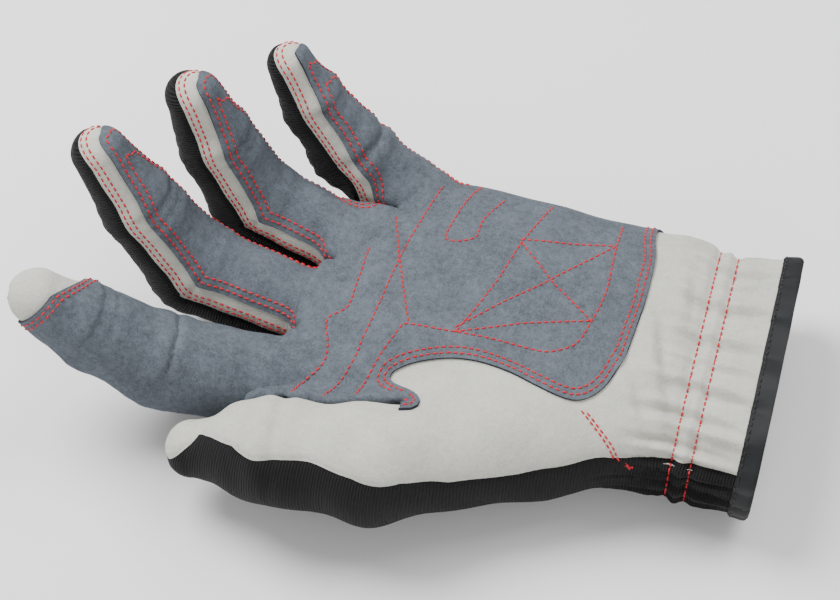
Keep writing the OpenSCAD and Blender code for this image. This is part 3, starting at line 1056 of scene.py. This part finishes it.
PALM_LINES = [
    [(-19, -56), (-19, -48), (-15, -40), (-16, -34), (-19, -27), (-15, -22), (-15, -15), (-16, 1)],
    [(-11, -54), (-7, -39), (-6, -22), (-6, -2), (-5, 13), (-4, 30)],
    [(-2, -53), (0, -37), (3, -25), (5, -23), (19, -22), (32, -21), (44, -21), (48, -20), (53, -16), (55, -8),
     (56, 4), (54, 21), (53, 33)],
    [(-13, 15), (-6, -1), (5, -23)],
    [(19, -22), (24, -5), (27, 14), (29, 24), (31, 34)],
    [(26, 15), (54, 22)],
    [(54, 22), (39, 3), (18, -21)],
    [(27, 14), (40, 3), (55, -7)],
    [(55, -7), (36, -14), (19, -22)],
    [(7, 36), (5, 20), (5, 9), (13, 12), (13, 20), (16, 31)],
]
for points in PALM_LINES:
    path = curve(points, 1.0) if len(points) > 4 else np.array(points, float)
    sew(drop(path), TOP)
for shift in (0, 1.8):
    sew(drop([(60.5 + shift, -34), (66.5 + shift, -37.5), (73 + shift, -41)]), 0.1)


def thread_mesh(name, dashes, material):
    mid, run, n = (np.array(v) for v in zip(*dashes))
    side = np.cross(run, n)
    turns = np.arange(6) * math.pi / 3
    rings = []
    for along_by, radius, sink in ((-0.5, 0.4, 0.25), (-0.32, 1.0, 0.0), (0.32, 1.0, 0.0), (0.5, 0.4, 0.25)):
        centre = mid + run * STITCH * along_by - n * sink
        ring = centre[:, None] + THREAD_R * radius * (np.cos(turns)[None, :, None] * side[:, None]
                                                      + np.sin(turns)[None, :, None] * n[:, None])
        rings.append(ring)
    points = np.stack(rings, 1).reshape(-1, 3)
    faces = []
    for k in range(len(mid)):
        base = k * 24
        for r in range(3):
            for c in range(6):
                a, b = base + r * 6 + c, base + r * 6 + (c + 1) % 6
                faces.append((b, a, a + 6, b + 6))
        faces.append(tuple(base + c for c in range(6)))
        faces.append(tuple(base + 18 + c for c in reversed(range(6))))
    return make_object(name, points, faces, [material])


for kind, material in (("red_thread", RED), ("black_thread", BLACK_THREAD)):
    groups = {}
    for dash in stitches[kind]:
        nearest = GLOVE_TREE.find(dash[0])[1]
        groups.setdefault(int(CHUNK_IDS[nearest]), []).append(dash)
    for number in sorted(groups):
        chunk = CHUNKS[number] if number < len(CHUNKS) else PALM
        obj = attach(thread_mesh(f"{chunk.name}_{kind}", groups[number], material), chunk)
        if kind == "red_thread" and chunk.name == "cuff":
            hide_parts("elastic_thread")

# ---------------------------------------------------------------- binding, elastic and bartack
band = whole_glove.cut(CUFF_END - lean(whole_glove.data[:, :3]))
band = band.cut(lean(band.data[:, :3]) - (CUFF_END - BINDING_W))
from_mouth = CUFF_END - lean(band.data[:, :3])


def rounded(v, width):
    return np.sqrt(np.clip(1 - (1 - np.clip(v / width, 0, 1)) ** 2, 0, 1))


rise = rounded(from_mouth, 1.6) * (0.25 + 0.75 * rounded(BINDING_W - from_mouth, 0.8))
lift = -SUEDE_T / 2 + rise * (SUEDE_T / 2 + 0.95)
binding = panel("cuff_binding_tape", band, lift[:, None], 2 * lift[:, None] + SUEDE_T, [TAPE])
cuff_chunk = next(c for c in CHUNKS if c.name == "cuff")
attach(binding, cuff_chunk)
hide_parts("cuff_binding")

inside = whole_glove.cut(ROWS[1] + 3 - lean(whole_glove.data[:, :3]))
inside = inside.cut(lean(inside.data[:, :3]) - (ROWS[0] - 3))
elastic = attach(panel("wrist_elastic_band", inside, -SUEDE_T - 0.25, 0.9, [ELASTIC]), cuff_chunk)
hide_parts("wrist_elastic")


def bartack():
    """A short dense bar of thread where the two front panels meet the back at the wrist."""
    dashes = []
    for k in range(7):
        line = drop([(76.5 + 0.36 * k, -40.4), (77.3 + 0.36 * k, -43.2)], 0.4)
        if len(line) > 1:
            n = line[:, 3:].mean(0)
            run = line[-1, :3] - line[0, :3]
            dashes.append((line[:, :3].mean(0) + n * 0.25, run / np.linalg.norm(run), n / np.linalg.norm(n)))
    obj = attach(thread_mesh("thumb_bartack_thread", dashes, RED), cuff_chunk)
    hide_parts("thumb_bartack")


bartack()

# ---------------------------------------------------------------- camera, light and floor
AIM = np.array([0.0, 0.0, 15.0])
TURN, TILT, DISTANCE = 20, 55, 640


def place_camera():
    turn, tilt = math.radians(TURN), math.radians(TILT)
    back = np.array([math.sin(turn) * math.cos(tilt), -math.cos(turn) * math.cos(tilt), math.sin(tilt)])
    camera = bpy.data.objects.new("camera", bpy.data.cameras.new("camera"))
    camera.data.lens = 90
    camera.data.sensor_width = 36
    camera.location = Vector(((AIM + back * DISTANCE - ORIGIN) * MM).tolist())
    camera.rotation_euler = Vector(back.tolist()).to_track_quat("Z", "Y").to_euler()
    bpy.context.scene.collection.objects.link(camera)
    bpy.context.scene.camera = camera


def area_light(name, place, aim, size, power):
    light = bpy.data.lights.new(name, "AREA")
    light.shape = "DISK"
    light.size = size
    light.energy = power
    obj = bpy.data.objects.new(name, light)
    obj.location = place
    obj.rotation_euler = (Vector(place) - Vector(aim)).to_track_quat("Z", "Y").to_euler()
    bpy.context.scene.collection.objects.link(obj)


def floor():
    mesh = bpy.data.meshes.new("floor")
    half = 3.0
    corners = [(-half, -half, 0), (half, -half, 0), (half, half, 0), (-half, half, 0)]
    mesh.from_pydata(corners, [], [(0, 1, 2, 3)])
    obj = bpy.data.objects.new("floor", mesh)
    obj.location.z = FLOOR_Z
    m = Nodes("floor")
    m.shader.inputs["Base Color"].default_value = (0.86, 0.86, 0.86, 1)
    m.shader.inputs["Roughness"].default_value = 0.9
    mesh.materials.append(m.material)
    bpy.context.scene.collection.objects.link(obj)


place_camera()
FLOOR_Z = float(glove.data[:, 2].min()) * MM - 0.0003
area_light("key", (-0.45, 0.1, 0.75), (0, 0, 0), 0.5, 11)
area_light("top", (0.3, 0.45, 0.9), (0, 0, 0), 0.8, 6)
area_light("front", (0.25, -0.9, 0.5), (0, 0, 0.02), 0.8, 3)
floor()
world = bpy.data.worlds.new("world")
world.use_nodes = True
world.node_tree.nodes["Background"].inputs[0].default_value = (1, 1, 1, 1)
world.node_tree.nodes["Background"].inputs[1].default_value = 0.62
bpy.context.scene.world = world
